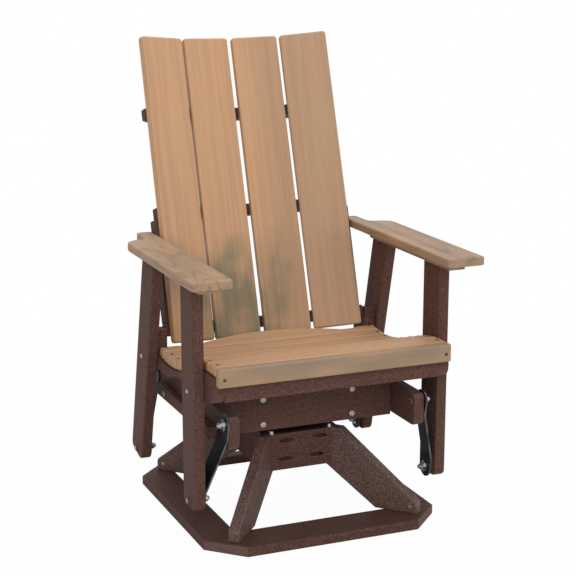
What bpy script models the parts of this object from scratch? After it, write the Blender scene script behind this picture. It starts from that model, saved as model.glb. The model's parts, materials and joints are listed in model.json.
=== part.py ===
"""Swivel glider armchair with a fanned adirondack back, built of poly lumber boards.

Metres, +Z up, the front towards -Y, left and right as seen from the front. A base of four boards
and four struts carries a hub and a swivel bearing. A frame turns on the bearing, and four bent
steel links hang the chair from it, so that the chair glides forwards and backwards.
"""

import bmesh
import bpy
from math import atan2, cos, hypot, pi, radians, sin, tan
from mathutils import Matrix, Vector

for old in list(bpy.data.objects):
    bpy.data.objects.remove(old, do_unlink=True)

# Fits
FIT = 0.0003
RUNNING_GAP = 0.0006
CUT_OVERRUN = 0.005
SEATING = 0.0004
ARC_STEP = radians(18)
ROUND_SIDES = 24
RACE_SIDES = 48

# Boards
BOARD = 0.0286
SLAT = 0.0240
BOARD_EASE = 0.0035
SLAT_EASE = 0.0045

# Base frame on the floor
BASE_WIDTH = 0.6350
BASE_FRONT_REACH = 0.3323
BASE_REAR_REACH = 0.3430
BASE_THICKNESS = 0.0260
BASE_FRONT_BOARD = 0.1090
BASE_REAR_BOARD = 0.0380
BASE_SIDE_BOARD = 0.0940
BASE_FRONT_CHAMFER = 0.0850
BASE_REAR_CHAMFER = 0.0915

# Struts and hub
STRUT_HEADING = radians(48.8)
STRUT_THICKNESS = 0.0290
STRUT_INNER_END = 0.0560
STRUT_SHOULDER = 0.1680
STRUT_HEEL = 0.2700
STRUT_TIP = 0.3860
STRUT_TIP_HEIGHT = 0.0300
STRUT_TIP_RADIUS = 0.0110
HUB_REACH = 0.1590
HUB_TOP = 0.2286
HUB_HEIGHT = 0.0978
STRUT_UNDERSIDE_START = 0.1210

# Swivel bearing
SWIVEL_HEIGHT = 0.0280
SWIVEL_PLATE = 0.1860
SWIVEL_PLATE_THICKNESS = 0.0030
SWIVEL_PLATE_CORNER = 0.0120
SWIVEL_BORE = 0.0500
RACE_RADIUS = 0.0735
RACE_WALL = 0.0100
RACE_RING = 0.0060

# Swivel frame
FRAME_SIDE_GAP = 0.0497
FRAME_RAIL_HEIGHT = 0.0857
FRAME_RAIL_STEP = 0.0064
FRAME_RAIL_CORNER = 0.0178
FRAME_RAIL_MARGIN = 0.0193
CROSS_BOARD_FACE = 0.1600
INNER_BOARD_X = 0.1232
STOP_STRIP_WIDTH = 0.0229
STOP_STRIP_HEIGHT = 0.0305
STOP_STRIP_RISE = 0.0089

# Links
PIVOT_DROP = 0.0235
UPPER_PIVOT_Y = 0.2715
LOWER_PIVOT_Y = 0.2139
LINK_RISE = 0.2025
LINK_THICKNESS = 0.0048
LINK_WIDTH = 0.0540
LINK_FLAT = 0.0300
LINK_END_ROUND_SHARE = 0.995
GLIDE_LIMIT = radians(10)
STOP_GAP = 0.0010
SEAT_RATIO = -1.27

# Pivot bolts
BOLT_RADIUS = 0.0048
BOLT_HEAD_RADIUS = 0.0105
BOLT_HEAD_HEIGHT = 0.0050
BOLT_HEAD_CROWN = 0.0035
WASHER_RADIUS = 0.0145
WASHER_THICKNESS = 0.0020
NUT_RADIUS = 0.0092
NUT_HEIGHT = 0.0085
BOLT_END = 0.0080
BOLT_POINT = 0.0010

# Seat
SEAT_WIDTH = 0.6264
SEAT_CREST = 0.4856
SEAT_FRONT = 0.3449
CREST_FLAT = 0.0361
CREST_RADIUS = 0.2920
SEAT_SLOPE = radians(17)
SLOPE_LENGTH = 0.1184
DISH_RADIUS = 0.3810
SLAT_COUNT = 9
SLAT_WIDTH = 0.0470
SLAT_GAP = 0.0018
SLAT_SIDE_GAP = 0.0064
REAR_SLAT_END = 0.0320
REAR_SLAT_DIP = 0.0250
REAR_SLAT_TAB = 0.0480
REAR_SLAT_STEP = 0.0180
REAR_SLAT_CREST = 0.0672
REAR_SLAT_RADIUS = 0.5385
REAR_SLAT_ARC_STEPS = 10
NOSE_HEIGHT = 0.0457
NOSE_SIDE_GAP = 0.0058
SIDE_RAIL_DEPTH = 0.0945
SIDE_RAIL_STEP = 0.0203
SIDE_RAIL_STEP_Y = 0.0510
SIDE_RAIL_STEP_RUN = 0.0635
SIDE_RAIL_CORNER = 0.0300
SIDE_RAIL_TAIL = 0.0460
SIDE_RAIL_TAIL_HEIGHT = 0.0090
NIB_THICKNESS = 0.0270
NIB_HEIGHT = 0.0460
FRONT_RAIL_DEPTH = 0.0880

# Legs and arms
LEG_WIDTH = 0.0876
LEG_END = 0.0160
LEG_CORNER = 0.0190
FRONT_LEG_LEAD = 0.0040
REAR_LEG_LEAN = radians(13.9)
ARM_HEIGHT = 0.7066
ARM_THICKNESS = 0.0225
ARM_OVERLAP = 0.0355
ARM_WIDTH = 0.1018
ARM_FRONT = 0.3719
ARM_CORNER = 0.0090
ARM_SHOULDER_Y = 0.1560
ARM_TAIL_WIDTH = 0.0420
ARM_SHOULDER_SHARE = 0.62
ARM_NOTCH_SHARE = 0.34
ARM_TAIL_END = 0.2460
ARM_SUPPORT_WIDTH = 0.0460
ARM_SUPPORT_THICKNESS = 0.0165
ARM_SUPPORT_INSET = 0.0255
ARM_SUPPORT_FRONT_INSET = 0.0440
ARM_SUPPORT_REAR = 0.1250

# Back
BACK_LEAN = radians(17.6)
BACK_SETBACK = 0.0365
BACK_FOOT_HEIGHT = 0.4216
BACK_SLAT_LENGTH = 0.8100
BACK_SLAT_TAPER = 0.0028
BACK_SLAT_THICKNESS = 0.0216
BACK_CENTRE_GAP = 0.0122
BACK_SLAT_GAP = 0.0066
BACK_SIDE_GAP = 0.0103
BACK_SLAT_CORNER = 0.0080
MIDDLE_SLAT_YAW = radians(5)
OUTER_SLAT_YAW = radians(18)
BACK_RAIL_HEIGHT = 0.0305
BACK_RAIL_SIDE_GAP = 0.0057
BACK_RAIL_DEPTH = 0.0380
BACK_RAIL_END_DEPTH = 0.0300
BACK_RAIL_CHAMFER = 0.0500
UPPER_RAIL_RISE = 0.6080
MIDDLE_RAIL_RISE = 0.3440
LOWER_RAIL_RISE = 0.0370
UPRIGHT_DEPTH = 0.0500

# Finishes: colour, roughness, metallic
TAN_POLY = ((0.509, 0.292, 0.162, 1), 0.55, 0)
BROWN_POLY = ((0.082, 0.040, 0.032, 1), 0.5, 0)
BLACK_STEEL = ((0.016, 0.016, 0.018, 1), 0.35, 1)

SIDES = ((-1, "left"), (1, "right"))
ENDS = ((-1, "front"), (1, "rear"))

# Heights and faces that follow from the sizes above
FRAME_BOTTOM = HUB_TOP + SWIVEL_HEIGHT
FRAME_RAIL_BOTTOM = FRAME_BOTTOM + FRAME_RAIL_STEP
FRAME_TOP = FRAME_RAIL_BOTTOM + FRAME_RAIL_HEIGHT
UPPER_PIVOT_Z = FRAME_TOP - PIVOT_DROP
LOWER_PIVOT_Z = UPPER_PIVOT_Z - LINK_RISE
LINK_LENGTH = hypot(UPPER_PIVOT_Y - LOWER_PIVOT_Y, LINK_RISE)
LINK_TILT = atan2(UPPER_PIVOT_Y - LOWER_PIVOT_Y, LINK_RISE)
SEAT_FACE = SEAT_WIDTH / 2
SEAT_INNER_FACE = SEAT_FACE - BOARD
FRAME_FACE = SEAT_FACE - FRAME_SIDE_GAP
ARM_INNER_EDGE = SEAT_FACE - ARM_OVERLAP
BACK_RAIL_HALF = ARM_INNER_EDGE - BACK_RAIL_SIDE_GAP
BACK_SLATS_SPAN = ARM_INNER_EDGE - BACK_SIDE_GAP - BACK_CENTRE_GAP / 2 - BACK_SLAT_GAP
BACK_SLAT_FOOT_WIDTH = BACK_SLATS_SPAN / (cos(MIDDLE_SLAT_YAW) + cos(OUTER_SLAT_YAW))
BACK_SLAT_HEAD_WIDTH = BACK_SLAT_FOOT_WIDTH - BACK_SLAT_TAPER
NOSE_BACK = SLAT - SEAT_FRONT
ARM_UNDERSIDE = ARM_HEIGHT - ARM_THICKNESS
LEG_TOP = ARM_UNDERSIDE - ARM_SUPPORT_THICKNESS - 2 * FIT


def rounded(corners):
    """Closed outline through corners (u, v, radius), each turned by an arc of its radius."""
    outline = []
    for index, (u, v, radius) in enumerate(corners):
        corner = Vector((u, v))
        if not radius:
            outline.append(corner)
            continue
        back = (Vector(corners[index - 1][:2]) - corner).normalized()
        ahead = (Vector(corners[(index + 1) % len(corners)][:2]) - corner).normalized()
        half = back.angle(ahead) / 2
        centre = corner + (back + ahead).normalized() * radius / sin(half)
        start = corner + back * radius / tan(half) - centre
        end = corner + ahead * radius / tan(half) - centre
        turn = -start.angle_signed(end)
        steps = max(2, round(abs(turn) / ARC_STEP))
        for step in range(steps + 1):
            outline.append(centre + Matrix.Rotation(turn * step / steps, 2) @ start)
    return outline


def box_outline(low_u, low_v, high_u, high_v, radius=0):
    """Rectangle between two corners, its own corners rounded by the radius."""
    places = ((low_u, low_v), (high_u, low_v), (high_u, high_v), (low_u, high_v))
    return rounded([(u, v, radius) for u, v in places])


def prism(outline, axis, low, high):
    """Solid of this outline, pushed along an axis from low to high."""

    def place(u, v, w):
        return {"X": (w, u, v), "Y": (u, w, v), "Z": (u, v, w)}[axis]

    shape = bmesh.new()
    low_ring = [shape.verts.new(place(u, v, low)) for u, v in outline]
    high_ring = [shape.verts.new(place(u, v, high)) for u, v in outline]
    shape.faces.new(low_ring)
    shape.faces.new(high_ring)
    for index in range(len(outline)):
        after = (index + 1) % len(outline)
        shape.faces.new((low_ring[index], low_ring[after], high_ring[after], high_ring[index]))
    bmesh.ops.recalc_face_normals(shape, faces=shape.faces)
    return shape


def hex_share(angle):
    """Radius of a hexagon in this direction, as a share of its corner radius."""
    return cos(pi / 6) / cos((angle % (pi / 3)) - pi / 6)


def turned(stations, axis, sides=ROUND_SIDES):
    """Solid turned about an axis from stations (place, radius, is_hex), closed at both ends."""
    shape = bmesh.new()
    rings = []
    for along, radius, is_hex in stations:
        ring = []
        for side in range(sides):
            angle = 2 * pi * side / sides
            reach = radius * (hex_share(angle) if is_hex else 1)
            across, up = reach * cos(angle), reach * sin(angle)
            spot = (along, across, up) if axis == "X" else (across, up, along)
            ring.append(shape.verts.new(spot))
        rings.append(ring)
    shape.faces.new(rings[0])
    shape.faces.new(rings[-1])
    for low, high in zip(rings, rings[1:]):
        for side in range(sides):
            after = (side + 1) % sides
            shape.faces.new((low[side], low[after], high[after], high[side]))
    bmesh.ops.recalc_face_normals(shape, faces=shape.faces)
    return shape


def ring_solid(inner, outer, low, high):
    """Flat-sided ring about the Z axis."""
    shape = bmesh.new()
    loops = []
    for radius, height in ((inner, low), (outer, low), (outer, high), (inner, high)):
        loop = []
        for side in range(RACE_SIDES):
            angle = 2 * pi * side / RACE_SIDES
            loop.append(shape.verts.new((radius * cos(angle), radius * sin(angle), height)))
        loops.append(loop)
    for near, far in zip(loops, loops[1:] + loops[:1]):
        for side in range(RACE_SIDES):
            after = (side + 1) % RACE_SIDES
            shape.faces.new((near[side], near[after], far[after], far[side]))
    bmesh.ops.recalc_face_normals(shape, faces=shape.faces)
    return shape


def finish_material(name, finish):
    colour, roughness, metallic = finish
    material = bpy.data.materials.new(name)
    material.use_nodes = True
    shader = material.node_tree.nodes["Principled BSDF"]
    shader.inputs["Base Color"].default_value = colour
    shader.inputs["Roughness"].default_value = roughness
    shader.inputs["Metallic"].default_value = metallic
    material.diffuse_color = colour
    return material


def mesh_of(name, shape):
    """Mesh data from a bmesh shape, smooth across its shallow angles."""
    mesh = bpy.data.meshes.new(name)
    shape.to_mesh(mesh)
    shape.free()
    mesh.shade_smooth()
    mesh.set_sharp_from_angle(angle=radians(40))
    return mesh


def empty(name, place, parent=None):
    """Parent for the pieces that move together, standing on their joint's axis."""
    holder = bpy.data.objects.new(name, None)
    bpy.context.collection.objects.link(holder)
    if parent:
        holder.parent = parent
        holder.matrix_parent_inverse = parent.matrix_world.inverted()
    holder.location = place
    bpy.context.view_layer.update()
    return holder


def ease(piece, width):
    """Rounded-over edges of a board."""
    bevel = piece.modifiers.new("eased_edges", "BEVEL")
    bevel.width = width
    bevel.segments = 2
    bevel.limit_method = "ANGLE"
    bevel.angle_limit = radians(40)


def add(name, mesh, parent, finish, edge=0, in_parent=False):
    """One piece. Its mesh is in chair coordinates, or in those of its parent."""
    piece = bpy.data.objects.new(name, mesh.copy() if mesh.users else mesh)
    bpy.context.collection.objects.link(piece)
    piece.data.materials.append(finish_material(name, finish))
    piece.parent = parent
    if not in_parent:
        piece.matrix_parent_inverse = parent.matrix_world.inverted()
    if edge:
        ease(piece, edge)
    return piece


def combine(piece, operation, shapes, parent):
    """Cuts shapes out of a piece, joins them to it or keeps what they share with it."""
    for index, shape in enumerate(shapes):
        helper_name = f"{piece.name}_{operation.lower()}_{index}"
        helper = bpy.data.objects.new(helper_name, mesh_of(helper_name, shape))
        bpy.context.collection.objects.link(helper)
        helper.parent = parent
        helper.matrix_parent_inverse = parent.matrix_world.inverted()
        helper.matrix_basis = piece.matrix_basis
        helper.hide_render = True
        helper.display_type = "WIRE"
        step = piece.modifiers.new(helper_name, "BOOLEAN")
        step.operation = operation
        step.object = helper


def moved(shape, y, z):
    bmesh.ops.translate(shape, verts=shape.verts, vec=(0, y, z))
    return shape


def pivot_bolt(side, y, z, head_face, link_face, outward, head_is_hex):
    """Bolt along X whose shank carries a link between its washer and the board it is fixed in.

    outward is the way its nut points, as a sign of |x|.
    """
    grip = link_face + outward * RUNNING_GAP
    washer_end = grip + outward * WASHER_THICKNESS
    nut_end = washer_end + outward * NUT_HEIGHT
    tip = nut_end + outward * BOLT_END
    head_end = head_face - outward * BOLT_HEAD_HEIGHT
    crown = BOLT_HEAD_RADIUS - (BOLT_POINT if head_is_hex else BOLT_HEAD_CROWN)
    stations = (
        (head_end, crown, head_is_hex),
        (head_end + outward * BOLT_HEAD_CROWN, BOLT_HEAD_RADIUS, head_is_hex),
        (head_face + outward * SEATING, BOLT_HEAD_RADIUS, head_is_hex),
        (head_face + outward * SEATING, BOLT_RADIUS, False),
        (grip, BOLT_RADIUS, False),
        (grip, WASHER_RADIUS, False),
        (washer_end, WASHER_RADIUS, False),
        (washer_end, NUT_RADIUS, True),
        (nut_end, NUT_RADIUS, True),
        (nut_end, BOLT_RADIUS, False),
        (tip - outward * BOLT_POINT, BOLT_RADIUS, False),
        (tip, BOLT_RADIUS - BOLT_POINT, False),
    )
    return moved(turned([(side * x, radius, six) for x, radius, six in stations], "X"), y, z)


def loop_error():
    """How far the open rear pivots part at the end of the glide, with constant joint ratios.

    The chair hangs on the front links' lower pivots. Its rear pivots follow its turn, and the
    rear links' lower ends follow the rear links' turn.
    """
    drop = Vector((UPPER_PIVOT_Y - LOWER_PIVOT_Y, -LINK_RISE))
    base = Vector((2 * LOWER_PIVOT_Y, 0))
    errors = []
    for glide in (-GLIDE_LIMIT, GLIDE_LIMIT):
        front = Matrix.Rotation(glide, 2) @ drop - Vector((UPPER_PIVOT_Y, 0))
        chair = front + Matrix.Rotation(glide * (1 + SEAT_RATIO), 2) @ base
        mirrored = Vector((-drop.x, drop.y))
        link = Matrix.Rotation(glide, 2) @ mirrored + Vector((UPPER_PIVOT_Y, 0))
        errors.append((chair - link).length)
    return max(errors)


# Bodies, each on its joint's axis
chair = empty("chair", (0, 0, 0))
swivel_frame = empty("swivel_axis", (0, 0, HUB_TOP), chair)
link_axes = {
    end: empty(f"{end}_upper_pivot_axis", (0, sign * UPPER_PIVOT_Y, UPPER_PIVOT_Z), swivel_frame)
    for sign, end in ENDS
}
seat = empty("front_lower_pivot_axis", (0, -LOWER_PIVOT_Y, LOWER_PIVOT_Z), link_axes["front"])


def make_base():
    """Four boards flat on the floor, the corners of their outline cut off at 45 degrees."""
    half_width = BASE_WIDTH / 2
    outer = {"front": BASE_FRONT_REACH, "rear": BASE_REAR_REACH}
    inner = {"front": BASE_FRONT_REACH - BASE_FRONT_BOARD, "rear": BASE_REAR_REACH - BASE_REAR_BOARD}
    chamfer = {"front": BASE_FRONT_CHAMFER, "rear": BASE_REAR_CHAMFER}

    def outer_x(end, y):
        """Half width of the base's outline at this distance from its middle."""
        return half_width - max(0, y - outer[end] + chamfer[end])

    for sign, end in ENDS:
        start = outer[end] - chamfer[end]
        line = [(outer_x(end, inner[end]), inner[end])]
        if start > inner[end]:
            line.append((half_width, start))
        line.append((outer_x(end, outer[end]), outer[end]))
        outline = [(x, sign * y) for x, y in line] + [(-x, sign * y) for x, y in line[::-1]]
        name = f"base_{end}_board"
        shape = prism(outline, "Z", 0, BASE_THICKNESS)
        add(name, mesh_of(name, shape), chair, BROWN_POLY, BOARD_EASE)
    for side, hand in SIDES:
        half = []
        for sign, end in ENDS:
            reach = inner[end] - FIT
            start = outer[end] - chamfer[end]
            line = [(half_width - BASE_SIDE_BOARD, reach), (outer_x(end, reach), reach)]
            if start < reach:
                line.append((half_width, start))
            half.append([(side * x, sign * y) for x, y in line])
        name = f"base_{hand}_board"
        shape = prism(half[0] + half[1][::-1], "Z", 0, BASE_THICKNESS)
        add(name, mesh_of(name, shape), chair, BROWN_POLY, BOARD_EASE)


def make_struts():
    """Four boards on edge, sloping from the hub to the corners of the base."""
    foot = BASE_THICKNESS + FIT
    underside = HUB_TOP - HUB_HEIGHT
    outline = rounded((
        (STRUT_INNER_END, underside, 0),
        (STRUT_UNDERSIDE_START, underside, 0),
        (STRUT_HEEL, foot, 0),
        (STRUT_TIP, foot, 0),
        (STRUT_TIP, foot + STRUT_TIP_HEIGHT, STRUT_TIP_RADIUS),
        (STRUT_SHOULDER, HUB_TOP, 0),
        (STRUT_INNER_END, HUB_TOP, 0),
    ))
    mesh = mesh_of("strut", prism(outline, "Y", -STRUT_THICKNESS / 2, STRUT_THICKNESS / 2))
    for y_sign, end in ENDS:
        for x_sign, hand in SIDES:
            strut = add(f"strut_{end}_{hand}", mesh, chair, BROWN_POLY, BOARD_EASE)
            strut.rotation_euler.z = atan2(y_sign * sin(STRUT_HEADING), x_sign * cos(STRUT_HEADING))


def make_hub():
    """Four boards fitted between the struts' faces, mitred to them."""
    quarter = pi / 2
    for end, turn, half_angle in (
        ("front", -quarter, quarter - STRUT_HEADING),
        ("rear", quarter, quarter - STRUT_HEADING),
        ("left", pi, STRUT_HEADING),
        ("right", 0, STRUT_HEADING),
    ):
        outer = HUB_REACH * cos(half_angle)
        trim = (STRUT_THICKNESS / 2 + FIT) / cos(half_angle)
        corners = []
        for x, sign in ((outer, -1), (outer, 1), (outer - BOARD, 1), (outer - BOARD, -1)):
            corners.append((x, sign * (x * tan(half_angle) - trim)))
        name = f"hub_{end}_board"
        shape = prism(corners, "Z", HUB_TOP - HUB_HEIGHT, HUB_TOP)
        add(name, mesh_of(name, shape), chair, BROWN_POLY, SEATING).rotation_euler.z = turn


def make_swivel():
    """Two square steel plates, each with a race, and the ball ring that runs between them."""
    half = SWIVEL_PLATE / 2
    low = HUB_TOP + FIT
    high = FRAME_BOTTOM - FIT
    outline = box_outline(-half, -half, half, half, SWIVEL_PLATE_CORNER)
    gap = RUNNING_GAP
    lower_race = ring_solid(
        RACE_RADIUS - RACE_WALL,
        RACE_RADIUS,
        low + SWIVEL_PLATE_THICKNESS - SEATING,
        high - SWIVEL_PLATE_THICKNESS - gap,
    )
    ring_outer = RACE_RADIUS + gap + RACE_RING
    upper_race = ring_solid(
        ring_outer + gap,
        ring_outer + gap + RACE_WALL,
        low + SWIVEL_PLATE_THICKNESS + gap,
        high - SWIVEL_PLATE_THICKNESS + SEATING,
    )
    plates = (
        ("swivel_lower_plate", low, lower_race, chair),
        ("swivel_upper_plate", high - SWIVEL_PLATE_THICKNESS, upper_race, swivel_frame),
    )
    for name, bottom, race, parent in plates:
        top = bottom + SWIVEL_PLATE_THICKNESS
        plate = add(name, mesh_of(name, prism(outline, "Z", bottom, top)), parent, BLACK_STEEL)
        ends = (bottom - CUT_OVERRUN, top + CUT_OVERRUN)
        stations = [(height, SWIVEL_BORE, False) for height in ends]
        combine(plate, "DIFFERENCE", [turned(stations, "Z", RACE_SIDES)], parent)
        combine(plate, "UNION", [race], parent)
    ring_low = low + SWIVEL_PLATE_THICKNESS + gap
    ring = ring_solid(RACE_RADIUS + gap, ring_outer, ring_low, high - SWIVEL_PLATE_THICKNESS - gap)
    add("swivel_ball_ring", mesh_of("swivel_ball_ring", ring), chair, BLACK_STEEL)


def make_swivel_frame():
    """Two side rails, two cross boards, two inner boards, the bearing's board and stop strips."""
    rail_inner = FRAME_FACE - BOARD
    rail_end = UPPER_PIVOT_Y + FRAME_RAIL_MARGIN
    cross_inner = CROSS_BOARD_FACE - BOARD
    for sign, end in ENDS:
        near, far = sorted((sign * CROSS_BOARD_FACE, sign * cross_inner))
        reach = rail_inner - FIT
        outline = box_outline(-reach, near, reach, far)
        name = f"frame_{end}_cross_board"
        shape = prism(outline, "Z", FRAME_BOTTOM, FRAME_TOP)
        add(name, mesh_of(name, shape), swivel_frame, BROWN_POLY, BOARD_EASE)
    for sign, hand in SIDES:
        near, far = sorted((sign * INNER_BOARD_X - BOARD / 2, sign * INNER_BOARD_X + BOARD / 2))
        reach = cross_inner - FIT
        name = f"frame_{hand}_inner_board"
        shape = prism(box_outline(near, -reach, far, reach), "Z", FRAME_BOTTOM, FRAME_TOP)
        add(name, mesh_of(name, shape), swivel_frame, BROWN_POLY, SEATING)
    reach_x = INNER_BOARD_X - BOARD / 2 - FIT
    reach_y = cross_inner - FIT
    outline = box_outline(-reach_x, -reach_y, reach_x, reach_y)
    shape = prism(outline, "Z", FRAME_BOTTOM, FRAME_BOTTOM + BOARD)
    add("swivel_board", mesh_of("swivel_board", shape), swivel_frame, BROWN_POLY, SEATING)

    outline = box_outline(-rail_end, FRAME_RAIL_BOTTOM, rail_end, FRAME_TOP, FRAME_RAIL_CORNER)
    for sign, hand in SIDES:
        name = f"frame_{hand}_rail"
        shape = prism(outline, "X", sign * rail_inner, sign * FRAME_FACE)
        rail = add(name, mesh_of(name, shape), swivel_frame, BROWN_POLY, BOARD_EASE)
        link_face = FRAME_FACE + RUNNING_GAP + LINK_THICKNESS
        bolts = [
            pivot_bolt(sign, y_sign * UPPER_PIVOT_Y, UPPER_PIVOT_Z, rail_inner, link_face, 1, True)
            for y_sign, end in ENDS
        ]
        combine(rail, "UNION", bolts, swivel_frame)

    bottom = FRAME_RAIL_BOTTOM + STOP_STRIP_RISE
    drop = UPPER_PIVOT_Z - bottom
    steepest = LINK_TILT + GLIDE_LIMIT
    reach = UPPER_PIVOT_Y - (LINK_WIDTH / 2 + STOP_GAP + drop * sin(steepest)) / cos(steepest)
    outline = box_outline(-reach, bottom, reach, bottom + STOP_STRIP_HEIGHT)
    for sign, hand in SIDES:
        name = f"{hand}_stop_strip"
        shape = prism(outline, "X", sign * (FRAME_FACE + FIT), sign * (FRAME_FACE + STOP_STRIP_WIDTH))
        add(name, mesh_of(name, shape), swivel_frame, BROWN_POLY, BOARD_EASE)


def make_links():
    """Four steel straps, bent outwards from the frame's rails to the legs' inner faces."""
    upper_face = FRAME_FACE + RUNNING_GAP
    lower_face = SEAT_FACE + FIT - RUNNING_GAP - LINK_THICKNESS
    bend = atan2(lower_face - upper_face, LINK_LENGTH - 2 * LINK_FLAT)
    set_back = LINK_THICKNESS * tan(bend / 2)
    end_reach = LINK_WIDTH / 2 + CUT_OVERRUN
    inner_line = (
        (end_reach, upper_face),
        (-LINK_FLAT, upper_face),
        (LINK_FLAT - LINK_LENGTH, lower_face),
        (-LINK_LENGTH - end_reach, lower_face),
    )
    half = LINK_WIDTH / 2
    end_round = half * LINK_END_ROUND_SHARE
    strap_outline = box_outline(-half, -LINK_LENGTH - half, half, half, end_round)
    for y_sign, end in ENDS:
        lower_hole = BOLT_RADIUS + RUNNING_GAP + (loop_error() if end == "rear" else 0)
        for x_sign, hand in SIDES:
            section = [(x_sign * x, z) for z, x in inner_line]
            thick = LINK_THICKNESS
            section += [
                (x_sign * (x + thick), z + shift)
                for (z, x), shift in zip(inner_line[::-1], (0, set_back, set_back, 0))
            ]
            name = f"link_{end}_{hand}"
            strap = prism(section, "Y", -half - CUT_OVERRUN, half + CUT_OVERRUN)
            link = add(name, mesh_of(name, strap), link_axes[end], BLACK_STEEL)
            link.location = (0, y_sign * UPPER_PIVOT_Y, UPPER_PIVOT_Z)
            link.rotation_euler.x = -y_sign * LINK_TILT
            cuts = (x_sign * (FRAME_FACE - CUT_OVERRUN), x_sign * (SEAT_FACE + CUT_OVERRUN))
            low, high = sorted(cuts)
            combine(link, "INTERSECT", [prism(strap_outline, "X", low, high)], link_axes[end])
            holes = []
            for radius, height in ((BOLT_RADIUS + RUNNING_GAP, 0), (lower_hole, -LINK_LENGTH)):
                stations = ((low, radius, False), (high, radius, False))
                holes.append(moved(turned(stations, "X"), 0, height))
            combine(link, "DIFFERENCE", holes, link_axes[end])


def seat_point(along):
    """Place (y, z) and heading on the seat's top curve, this far along it from the nose board.

    The curve runs flat over the crest, turns down an arc, runs straight and turns up the dish.
    """
    y, z, heading = NOSE_BACK, SEAT_CREST, 0
    crest_arc = CREST_RADIUS * SEAT_SLOPE
    for length, curvature in (
        (CREST_FLAT, 0),
        (crest_arc, -1 / CREST_RADIUS),
        (SLOPE_LENGTH, 0),
        (along, 1 / DISH_RADIUS),
    ):
        run = min(along, length)
        turn = run * curvature
        chord = run * (sin(turn / 2) / (turn / 2) if turn else 1)
        y += chord * cos(heading + turn / 2)
        z += chord * sin(heading + turn / 2)
        heading += turn
        along -= run
    return Vector((y, z)), heading


def slat_width(index):
    """Width of a seat slat over the side rails. The rear one is narrow there."""
    return REAR_SLAT_END if index == SLAT_COUNT - 1 else SLAT_WIDTH


def seat_slat_places():
    """Front and rear top corners of each seat slat, laid one behind another along the curve.

    Where the seat curves down, neighbours' lower edges close up, so their top gap is wider.
    """
    places = []
    start = SLAT_GAP
    for index in range(SLAT_COUNT):
        places.append((seat_point(start)[0], seat_point(start + slat_width(index))[0]))
        pitch = SLAT_WIDTH + SLAT_GAP
        bend = seat_point(start + SLAT_WIDTH / 2)[1] - seat_point(start + SLAT_WIDTH / 2 + pitch)[1]
        start += pitch + SLAT * max(0, tan(bend))
    return places


def underside(places, clearance):
    """Lower corners of the seat slats in order, this far below their wood."""
    line = []
    for index, (front, rear) in enumerate(places):
        run = (rear - front).normalized()
        down = Vector((run.y, -run.x)) * (SLAT + clearance)
        line += [front + down, front + run * slat_width(index) + down]
    return line


def rear_slat_outline(half_length):
    """The rear seat slat from above. Its rear edge bulges between the back's outer slats."""
    fall = REAR_SLAT_CREST - REAR_SLAT_DIP
    reach = (2 * REAR_SLAT_RADIUS * fall - fall * fall) ** 0.5
    tab = half_length - REAR_SLAT_TAB
    edge = [(half_length, 0), (half_length, REAR_SLAT_END), (tab, REAR_SLAT_END)]
    edge.append((tab - REAR_SLAT_STEP, REAR_SLAT_DIP))
    for step in range(REAR_SLAT_ARC_STEPS + 1):
        x = reach * (1 - 2 * step / REAR_SLAT_ARC_STEPS)
        drop = REAR_SLAT_RADIUS - (REAR_SLAT_RADIUS * REAR_SLAT_RADIUS - x * x) ** 0.5
        edge.append((x, REAR_SLAT_CREST - drop))
    edge.append((REAR_SLAT_STEP - tab, REAR_SLAT_DIP))
    return edge + [(-tab, REAR_SLAT_END), (-half_length, REAR_SLAT_END), (-half_length, 0)]


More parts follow.
